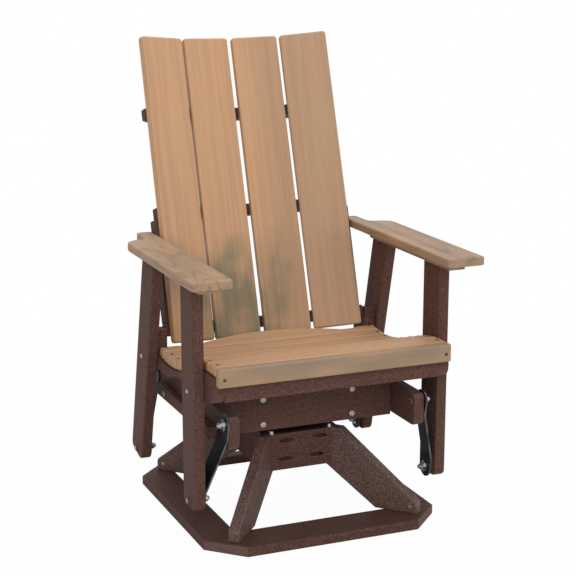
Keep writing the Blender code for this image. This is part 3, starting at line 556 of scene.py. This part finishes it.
class GliderLooks(PropertyGroup):
    tan_light: colour_property(
        "Light tan", "Ground colour of the seat, back and arms", (0.545, 0.304, 0.157))
    tan_middle: colour_property(
        "Middle tan", "Soft streaks in the tan boards", (0.460, 0.254, 0.132))
    tan_dark: colour_property(
        "Dark tan", "Hair lines in the tan boards", (0.330, 0.185, 0.105))
    tan_streak: colour_property(
        "Streak", "Broad brown streaks in the tan boards", (0.385, 0.225, 0.125))
    tan_line: colour_property(
        "Lines", "Dark grey lines in the weathered boards", (0.120, 0.085, 0.060))
    tan_smudge: colour_property(
        "Smudge", "Greenish grey smudges in the tan boards", (0.145, 0.146, 0.088))
    tan_grey: colour_property(
        "Weathered tan", "Greyed ground, most of all in the arms and the nose board", (0.262, 0.182, 0.115))
    brown_dark: colour_property(
        "Dark brown", "Ground colour of the frame and legs", (0.084, 0.039, 0.030))
    brown_middle: colour_property(
        "Middle brown", "Faint streaks in the brown boards", (0.098, 0.047, 0.036))
    brown_warm: colour_property(
        "Warm brown", "Broad patches in the brown boards", (0.110, 0.050, 0.034))
    # Painted highlight on the pebbles' tops
    brown_speck_highlight: colour_property(
        "Brown specks", "Tops of the pebbles in the brown skin", (0.200, 0.135, 0.120))
    # Painted shade inside the pocket holes
    bore_shade_colour: colour_property("Bores", "Inside of the pocket holes", (0.010, 0.006, 0.005))
    # Painted highlight along the eased edges
    brown_edge_highlight: colour_property(
        "Brown edges", "Eased edges of the brown boards", (0.240, 0.165, 0.148))
    black_coat: colour_property("Black coat", "Coating of the links and plates", (0.010, 0.010, 0.012))
    black_scuff: colour_property("Scuffs", "Scuffed coating", (0.030, 0.030, 0.034))
    zinc: colour_property("Zinc", "Plating of the bolts and nuts", (0.62, 0.63, 0.65))
    zinc_dull: colour_property("Dull zinc", "Duller spots of the plating", (0.40, 0.41, 0.43))
    zinc_grey: colour_property("Grey zinc", "Weathered plating of the board bolts", (0.36, 0.32, 0.29))
    screw_dark: colour_property("Dark screw", "Coated screw heads", (0.030, 0.026, 0.024))
    screw_light: colour_property("Worn screw", "Worn spots of the screw heads", (0.12, 0.11, 0.10))
    floor_colour: colour_property("Floor", "Studio floor", (0.88, 0.88, 0.88))
    seam: length_property("Seam", "Where a bolt's zinc starts beyond the board", 0.0002)


class GliderSizes(PropertyGroup):
    bolt_radius: length_property("Bolt head", "Radius of the boards' bolt heads", 0.0084)
    bolt_height: length_property("Bolt head height", "Height of the boards' bolt heads", 0.0034)
    leg_bolt_radius: length_property("Leg bolt head", "Radius of the legs' bolt heads", 0.0058)
    screw_radius: length_property("Screw head", "Radius of the screw heads", 0.0042)
    screw_height: length_property("Screw head height", "How far a screw head stands out", 0.0006)
    screw_x: length_property("Slat screws", "Distance of the slats' screws from the middle", 0.2925)
    hex_radius: length_property("Hex head", "Radius of the bearing's hexagon heads", 0.0066)
    hex_height: length_property("Hex head height", "Height of the bearing's hexagon heads", 0.0062)


# Piece groups

TAN_BOARDS = {
    "across": [f"seat_slat_{number}" for number in range(1, 10)],
    "deep": ["left_arm", "right_arm", "left_arm_support", "right_arm_support"],
    "upright": [f"back_slat_{number}" for number in range(1, 5)],
}
BROWN_BOARDS = {
    "across": [
        "base_front_board", "base_rear_board", "frame_front_cross_board", "swivel_board",
        "frame_rear_cross_board", "seat_front_rail", "back_lower_rail", "back_middle_rail",
        "back_upper_rail", "hub_rear_board", "hub_front_board",
    ],
    "deep": [
        "base_left_board", "base_right_board", "frame_left_inner_board", "frame_right_inner_board",
        "left_stop_strip", "right_stop_strip", "seat_left_rail", "seat_right_rail",
        "hub_left_board", "hub_right_board",
    ],
    "upright": ["back_left_upright", "back_right_upright"],
}
STRUTS = ["strut_front_left", "strut_front_right", "strut_rear_left", "strut_rear_right"]
FRAME_RAILS = ["frame_left_rail", "frame_right_rail"]
LEGS = ["front_leg_left", "front_leg_right", "rear_leg_left", "rear_leg_right"]
LINKS = ["link_front_left", "link_front_right", "link_rear_left", "link_rear_right"]
PLATES = ["swivel_lower_plate", "swivel_upper_plate"]
# Inner and outer face as distances from the chair's middle
RAIL_FACES = (0.2349, 0.2635)
LEG_FACES = (0.3135, 0.3421)
BACK_LEAN = radians(17.6)


def dress(nodes, material):
    """Gives CAD nodes their finish."""
    for name in nodes:
        slots = frame["nodes"][name].data.materials
        slots.clear()
        slots.append(material)


class GLIDER_OT_tan_boards(Operator):
    """Finish the seat, back and arms in tan lumber"""

    bl_idname = "glider.tan_boards"
    bl_label = "Tan boards"

    def execute(self, context):
        seat = tan_lumber("tan_lumber_across", "across", greying=0.18, figure=1.2)
        dress(TAN_BOARDS["across"], seat)
        nose = tan_lumber("tan_lumber_nose", "across", greying=0.85, figure=1.4)
        dress(["seat_nose_board"], nose)
        arms = tan_lumber("tan_lumber_arms", "deep", greying=0.7, figure=1.6, swirled=True)
        dress(TAN_BOARDS["deep"], arms)
        back = tan_lumber("tan_lumber_back", "upright", lean=BACK_LEAN, smudged=True)
        dress(TAN_BOARDS["upright"], back)
        return {"FINISHED"}


class GLIDER_OT_brown_boards(Operator):
    """Finish the base, frame, rails and legs in brown lumber"""

    bl_idname = "glider.brown_boards"
    bl_label = "Brown boards"

    def execute(self, context):
        for grain, nodes in BROWN_BOARDS.items():
            dress(nodes, brown_lumber(f"brown_lumber_{grain}", grain))
        # The struts' dense pale specks are a painted highlight, a sheen on the faces towards the key lamp
        struts = brown_lumber("brown_lumber_struts", "deep", highlit_specks=0.85, lit_edges=0.0, gloss=0.4)
        dress(STRUTS, struts)
        rails = brown_lumber("brown_lumber_rails", "deep", RAIL_FACES, pivot=(*UPPER_PIVOTS, True))
        dress(FRAME_RAILS, rails)
        legs = brown_lumber("brown_lumber_legs", "upright", LEG_FACES, lit_edges=0.15,
                            pivot=(*LOWER_PIVOTS, False))
        dress(LEGS, legs)
        return {"FINISHED"}


class GLIDER_OT_steel(Operator):
    """Finish the links and the swivel bearing"""

    bl_idname = "glider.steel"
    bl_label = "Links and bearing"

    def execute(self, context):
        dress(LINKS, coated_steel("link_steel", highlit_strap_edges=True))
        dress(PLATES, coated_steel("plate_steel"))
        dress(["swivel_ball_ring"], zinc("ball_ring_steel"))
        return {"FINISHED"}


class GLIDER_OT_pocket_holes(Operator):
    """Bore the slanted pocket holes of the hub's front and rear boards, each with its screw"""

    bl_idname = "glider.pocket_holes"
    bl_label = "Hub pocket holes"

    SEGMENTS = 24
    RADIUS = 0.0054
    LENGTH = 0.060
    SLANT = radians(15)
    # How far a bore stands out of the board's face, in radii
    OVERSHOOT = 1.1
    # Least distance of a bore's own faces from the board's ends and from its broad faces
    MARGIN = 0.006
    SKIN = 0.0005
    SCREW_RADIUS = 0.0036
    SCREW_HEIGHT = 0.0012
    SCREW_LIFT = 0.0002
    MERGE = 0.00001
    FLAT = radians(0.5)
    SMOOTH = radians(30)
    PLACES = ((-0.042, 0.030), (-0.045, -0.020), (0.052, 0.031), (0.042, -0.019))

    def execute(self, context):
        brown = frame["nodes"]["hub_rear_board"].data.materials[0]
        metal = zinc("pocket_screw_zinc")
        screw = driven_head("pocket_screw", self.SCREW_RADIUS, self.SCREW_HEIGHT, metal)
        # Painted shade: brown lumber darkened for the bores' walls
        bored = brown_lumber("brown_lumber_bores_painted_shade", "across", lit_edges=0.0, painted_shade=0.6)
        for end, node in ((-1, "hub_front_board"), (1, "hub_rear_board")):
            self.bore(end, node, brown, bored, screw)
        discard(screw)
        return {"FINISHED"}

    def bore(self, end, node, brown, bored, screw):
        """Bores a copy of one board, which takes the board's place."""
        low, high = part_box(node)
        middle = (low + high) / 2
        face = low.y if end < 0 else high.y
        source = frame["nodes"][node]
        board = source.copy()
        board.data = source.data.copy()
        board.name = node + "_bored"
        bpy.context.scene.collection.objects.link(board)
        board.parent = None
        select_only(board)
        bpy.ops.object.mode_set(mode="EDIT")
        bpy.ops.mesh.select_all(action="SELECT")
        bpy.ops.mesh.remove_doubles(threshold=self.MERGE)
        bpy.ops.mesh.dissolve_limited(angle_limit=self.FLAT)
        bpy.ops.object.mode_set(mode="OBJECT")
        screws = []
        for x, z in self.PLACES:
            side = -1 if x < 0 else 1
            way = Vector((side * cos(self.SLANT), -end * sin(self.SLANT), 0))
            mouth = Vector((middle.x + x, face, middle.z + z))
            spot = mouth - way * (self.LENGTH / 2 - self.OVERSHOOT * self.RADIUS / sin(self.SLANT))
            bpy.ops.object.select_all(action="DESELECT")
            bpy.ops.mesh.primitive_cylinder_add(
                vertices=self.SEGMENTS, radius=self.RADIUS, depth=self.LENGTH, location=spot)
            cutter = bpy.context.object
            cutter.rotation_mode = "QUATERNION"
            cutter.rotation_quaternion = way.to_track_quat("Z", "Y")
            modifier = board.modifiers.new("pocket", "BOOLEAN")
            modifier.operation = "DIFFERENCE"
            modifier.object = cutter
            bpy.context.view_layer.objects.active = board
            bpy.ops.object.modifier_apply(modifier="pocket")
            bottom = spot + way * (self.LENGTH / 2)
            discard(cutter)
            screws.append(stand(screw, bottom - way * self.SCREW_LIFT, -way))
        board.data.materials.clear()
        board.data.materials.append(brown)
        board.data.materials.append(bored)
        # Faces inside the bores take the painted shade
        for polygon in board.data.polygons:
            spot = polygon.center
            clear = min(spot.x - low.x, high.x - spot.x, spot.z - low.z, high.z - spot.z)
            depth = min(spot.y - low.y, high.y - spot.y)
            polygon.material_index = 1 if clear > self.MARGIN and depth > self.SKIN else 0
        select_only(board)
        bpy.ops.object.shade_smooth_by_angle(angle=self.SMOOTH)
        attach(board, "base")
        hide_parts(node)
        gather(screws, node + "_pocket_screws", "base")


class GLIDER_OT_frame_bolts(Operator):
    """Bolt heads on the swivel frame's cross boards and stop strips"""

    bl_idname = "glider.frame_bolts"
    bl_label = "Frame bolts"

    BOLT_X = 0.1232
    BOLT_HEIGHTS = (0.3391, 0.2736)
    STRIP_Y = 0.1422

    def execute(self, context):
        sizes = context.scene.glider_sizes
        metal = zinc("bolt_zinc", dullness=1.0)
        head = dome_head("board_bolt", sizes.bolt_radius, sizes.bolt_height, metal)
        copies = []
        for end, node in ((-1, "frame_front_cross_board"), (1, "frame_rear_cross_board")):
            low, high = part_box(node)
            face = low.y if end < 0 else high.y
            for side in SIDES:
                for height in self.BOLT_HEIGHTS:
                    copies.append(stand(head, (side * self.BOLT_X, face, height), (0, end, 0)))
        for side, node in ((-1, "left_stop_strip"), (1, "right_stop_strip")):
            low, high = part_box(node)
            face = low.x if side < 0 else high.x
            for end in ENDS:
                spot = (face, AXIS_Y + end * self.STRIP_Y, (low.z + high.z) / 2)
                copies.append(stand(head, spot, (side, 0, 0)))
        gather(copies, "frame_board_bolts", "swivel_frame")
        discard(head)
        return {"FINISHED"}


class GLIDER_OT_leg_bolts(Operator):
    """Bolt heads and nuts where the legs hold the seat rails"""

    bl_idname = "glider.leg_bolts"
    bl_label = "Leg bolts"

    # Distance behind the swivel axis, and height
    PLACES = ((-0.2156, 0.4028), (0.1514, 0.3957))
    # Height of these heads as a share of the frame's
    LOW = 0.7

    def execute(self, context):
        sizes = context.scene.glider_sizes
        metal = zinc("leg_bolt_zinc", dullness=0.8)
        head = dome_head("leg_bolt", sizes.leg_bolt_radius, sizes.bolt_height * self.LOW, metal)
        nut = hex_head("leg_nut", sizes.hex_radius, sizes.hex_height, metal)
        rail_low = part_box("seat_right_rail")[0]
        copies = []
        for side in SIDES:
            for y, z in self.PLACES:
                spot = (side * LEG_FACES[1], AXIS_Y + y, z)
                copies.append(stand(head, spot, (side, 0, 0)))
                spot = (side * rail_low.x, AXIS_Y + y, z)
                copies.append(stand(nut, spot, (-side, 0, 0)))
        gather(copies, "leg_bolts", "seat")
        discard(head, nut)
        return {"FINISHED"}


class GLIDER_OT_pivot_ends(Operator):
    """Lock nut collars and threaded ends on the links' pivot bolts"""

    bl_idname = "glider.pivot_ends"
    bl_label = "Pivot bolt ends"

    UPPER_NUT = 0.2800
    UPPER_TIP = 0.2880
    LOWER_NUT = 0.2970
    THREAD_RADIUS = 0.0053
    THREAD_SHORT = 0.0004
    TURNS = 5
    COLLAR_RADIUS = 0.0078
    COLLAR_BORE = 0.0054
    COLLAR_HEIGHT = 0.0026

    def execute(self, context):
        metal = zinc("pivot_zinc")
        length = self.UPPER_TIP - self.UPPER_NUT - self.THREAD_SHORT
        end_piece = thread_end("thread", self.THREAD_RADIUS, length, self.TURNS, metal)
        collar = nut_collar(
            "collar", self.COLLAR_RADIUS, self.COLLAR_BORE, self.COLLAR_HEIGHT, metal)
        for level, body, pivots, start_x, way in (
            ("upper", "swivel_frame", UPPER_PIVOTS, self.UPPER_NUT, 1),
            ("lower", "seat", LOWER_PIVOTS, self.LOWER_NUT, -1),
        ):
            reach, height = pivots
            copies = []
            for side in SIDES:
                for end in ENDS:
                    spot = (side * start_x, AXIS_Y + end * reach, height)
                    copies.append(stand(end_piece, spot, (side * way, 0, 0)))
                    copies.append(stand(collar, spot, (side * way, 0, 0)))
            gather(copies, f"{level}_pivot_ends", body)
        discard(end_piece, collar)
        return {"FINISHED"}


class GLIDER_OT_seat_screws(Operator):
    """Screws at the ends of the seat slats and the nose board"""

    bl_idname = "glider.seat_screws"
    bl_label = "Seat screws"

    NOSE_Z = 0.4605

    def execute(self, context):
        sizes = context.scene.glider_sizes
        metal = dark_screw("seat_screw_steel")
        head = driven_head("slat_screw", sizes.screw_radius, sizes.screw_height, metal)
        copies = []
        for number in range(1, 10):
            middle, normal = broad_face(f"seat_slat_{number}", (0, 0, 1))
            for side in SIDES:
                spot = (side * sizes.screw_x, middle.y, middle.z)
                copies.append(stand(head, spot, normal))
        low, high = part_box("seat_nose_board")
        for side in SIDES:
            spot = (side * sizes.screw_x, low.y, self.NOSE_Z)
            copies.append(stand(head, spot, (0, -1, 0)))
        gather(copies, "seat_screws", "seat")
        discard(head)
        return {"FINISHED"}


class GLIDER_OT_back_screws(Operator):
    """Screws through the back rails into the back slats"""

    bl_idname = "glider.back_screws"
    bl_label = "Back screws"

    COLUMNS = (0.040, 0.100, 0.172, 0.212)

    def execute(self, context):
        sizes = context.scene.glider_sizes
        metal = zinc("back_screw_zinc")
        head = driven_head("rail_screw", sizes.screw_radius, sizes.screw_height, metal)
        copies = []
        for node in ("back_lower_rail", "back_middle_rail", "back_upper_rail"):
            middle, normal = broad_face(node, (0, 1, 0))
            for side in SIDES:
                for column in self.COLUMNS:
                    copies.append(stand(head, (side * column, middle.y, middle.z), normal))
        gather(copies, "back_rail_screws", "seat")
        discard(head)
        return {"FINISHED"}


class GLIDER_OT_bearing_bolts(Operator):
    """Hexagon bolts in the tops of the struts, round the swivel bearing"""

    bl_idname = "glider.bearing_bolts"
    bl_label = "Bearing bolts"

    # Distance from the swivel axis to the side and along the chair
    SPOT = (0.0805, 0.1100)
    TWIST = radians(15)

    def execute(self, context):
        sizes = context.scene.glider_sizes
        head = hex_head("bearing_bolt", sizes.hex_radius, sizes.hex_height, zinc("bearing_zinc"))
        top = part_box("strut_front_left")[1].z
        copies = []
        for side in SIDES:
            for end in ENDS:
                spot = (side * self.SPOT[0], AXIS_Y + end * self.SPOT[1], top)
                copies.append(stand(head, spot, (0, 0, 1), self.TWIST))
        gather(copies, "bearing_bolts", "base")
        discard(head)
        return {"FINISHED"}


class GLIDER_OT_foot_screws(Operator):
    """Screws that hold the struts' feet to the base boards"""

    bl_idname = "glider.foot_screws"
    bl_label = "Foot screws"

    HEADING = radians(48.8)
    REACH = 0.366
    RISE = 0.0455
    SIDE_STEP = 0.0146

    def execute(self, context):
        sizes = context.scene.glider_sizes
        metal = zinc("foot_screw_zinc")
        head = driven_head("foot_screw", sizes.screw_radius, sizes.screw_height, metal)
        copies = []
        for side in SIDES:
            for end in ENDS:
                along = Vector((side * cos(self.HEADING), end * sin(self.HEADING), 0))
                for hand in SIDES:
                    aside = Vector((-along.y, along.x, 0)) * hand
                    spot = along * self.REACH + aside * self.SIDE_STEP
                    spot = spot + Vector((0, AXIS_Y, self.RISE))
                    copies.append(stand(head, spot, aside))
        gather(copies, "foot_screws", "base")
        discard(head)
        return {"FINISHED"}


class GLIDER_OT_studio(Operator):
    """Floor, lights, world and camera"""

    bl_idname = "glider.studio"
    bl_label = "Studio"

    FLOOR_SIZE = 24.0
    # Share of plain white that the camera sees near the chair, and the distances of its rise to 1
    FLOOR_WHITE = 0.97
    FLOOR_FADE = (0.9, 2.2)
    # Strength of the world as a light, where the camera and reflections see it at 1
    AMBIENT = 0.55
    LAMPS = (
        # Name, place, size and power
        ("key", (-1.7, -3.7, 2.5), 1.9, 62.0),
        ("fill", (3.2, -2.4, 1.6), 2.4, 25.0),
        ("top", (0.4, 0.6, 3.6), 2.2, 42.0),
    )
    LAMP_AIM = (0, 0, 0.5)
    SENSOR = 36.0
    IMAGE = 576
    TURN = radians(-22.662)
    RISE = radians(14.498)
    DISTANCE = 4.00584
    AIM = (0.01142, 0.0, 0.49423)
    FOCAL_PIXELS = 1538.0
    CENTRE_PIXELS = (288.0, 320.0)

    def execute(self, context):
        scene = context.scene
        self.add_floor(scene)
        self.add_lights(scene)
        self.add_world(scene)
        self.add_camera(scene)
        scene.view_settings.view_transform = "Standard"
        return {"FINISHED"}

    def add_floor(self, scene):
        bpy.ops.object.select_all(action="DESELECT")
        bpy.ops.mesh.primitive_plane_add(size=self.FLOOR_SIZE)
        floor = start("studio_floor")
        bpy.ops.mesh.subdivide(number_cuts=3)
        material = bpy.data.materials.new("studio_floor")
        graph = Graph(material)
        path = graph.make("ShaderNodeLightPath", output="Is Camera Ray")
        settings = {"operation": "LENGTH"}
        reach = graph.make("ShaderNodeVectorMath", settings, {0: graph.place()}, output="Value")
        white = graph.make("ShaderNodeEmission", sockets={"Color": (1, 1, 1, 1)})
        matt = scene.glider_looks.floor_colour
        plain = graph.make("ShaderNodeBsdfDiffuse", sockets={"Color": (*matt, 1.0)})
        share = reach.between(*self.FLOOR_FADE) * (1 - self.FLOOR_WHITE) + self.FLOOR_WHITE
        share = path * share
        mixed = graph.make("ShaderNodeMixShader", sockets={0: share, 1: plain, 2: white})
        output = graph.tree.nodes["Material Output"]
        graph.tree.links.new(mixed.socket, output.inputs["Surface"])
        close(material)

    def add_lights(self, scene):
        for name, spot, size, power in self.LAMPS:
            lamp = bpy.data.lights.new(name, "AREA")
            lamp.shape = "SQUARE"
            lamp.size = size
            lamp.energy = power
            light = bpy.data.objects.new(name, lamp)
            scene.collection.objects.link(light)
            light.location = spot
            aim = Vector(self.LAMP_AIM) - Vector(spot)
            light.rotation_euler = aim.to_track_quat("-Z", "Y").to_euler()

    def add_world(self, scene):
        world = bpy.data.worlds.new("studio")
        scene.world = world
        graph = Graph(world)
        camera = graph.make("ShaderNodeLightPath", output="Is Camera Ray")
        glossy = graph.make("ShaderNodeLightPath", output="Is Glossy Ray")
        through = graph.make("ShaderNodeLightPath", output="Is Transmission Ray")
        seen = camera.greatest(glossy).greatest(through)
        background = graph.tree.nodes["Background"]
        background.inputs["Color"].default_value = (1, 1, 1, 1)
        strength = seen * (1 - self.AMBIENT) + self.AMBIENT
        graph.tree.links.new(strength.socket, background.inputs["Strength"])

    def add_camera(self, scene):
        back = Vector((
            sin(self.TURN) * cos(self.RISE), -cos(self.TURN) * cos(self.RISE), sin(self.RISE)))
        right = Vector((cos(self.TURN), sin(self.TURN), 0))
        up = back.cross(right)
        eye = Vector(self.AIM) + Vector((0, AXIS_Y, 0)) + back * self.DISTANCE
        data = bpy.data.cameras.new("photo_camera")
        camera = bpy.data.objects.new("photo_camera", data)
        scene.collection.objects.link(camera)
        way = Matrix((right, up, back)).transposed().to_4x4()
        camera.matrix_world = Matrix.Translation(eye) @ way
        data.sensor_width = self.SENSOR
        data.lens = self.FOCAL_PIXELS / self.IMAGE * data.sensor_width
        across, down = self.CENTRE_PIXELS
        data.shift_x = (self.IMAGE / 2 - across) / self.IMAGE
        data.shift_y = (down - self.IMAGE / 2) / self.IMAGE
        scene.camera = camera


PIECES = (
    GLIDER_OT_tan_boards,
    GLIDER_OT_brown_boards,
    GLIDER_OT_steel,
    GLIDER_OT_pocket_holes,
    GLIDER_OT_frame_bolts,
    GLIDER_OT_leg_bolts,
    GLIDER_OT_pivot_ends,
    GLIDER_OT_seat_screws,
    GLIDER_OT_back_screws,
    GLIDER_OT_bearing_bolts,
    GLIDER_OT_foot_screws,
    GLIDER_OT_studio,
)


class GLIDER_PT_panel(Panel):
    """Lists the chair's operators, sizes and colours"""

    bl_idname = "GLIDER_PT_panel"
    bl_label = "Swivel glider"
    bl_space_type = "VIEW_3D"
    bl_region_type = "UI"
    bl_category = "Glider"

    def draw(self, context):
        for piece in PIECES:
            self.layout.operator(piece.bl_idname)
        for group in (context.scene.glider_sizes, context.scene.glider_looks):
            box = self.layout.box()
            for name in group.__annotations__:
                box.prop(group, name)


CLASSES = (GliderLooks, GliderSizes, *PIECES, GLIDER_PT_panel)


def register():
    for each in CLASSES:
        bpy.utils.register_class(each)
    bpy.types.Scene.glider_looks = PointerProperty(type=GliderLooks)
    bpy.types.Scene.glider_sizes = PointerProperty(type=GliderSizes)


def unregister():
    del bpy.types.Scene.glider_sizes
    del bpy.types.Scene.glider_looks
    for each in reversed(CLASSES):
        bpy.utils.unregister_class(each)


def main():
    register()
    for piece in PIECES:
        family, action = piece.bl_idname.split(".")
        getattr(getattr(bpy.ops, family), action)()


if __name__ == "__main__":
    main()
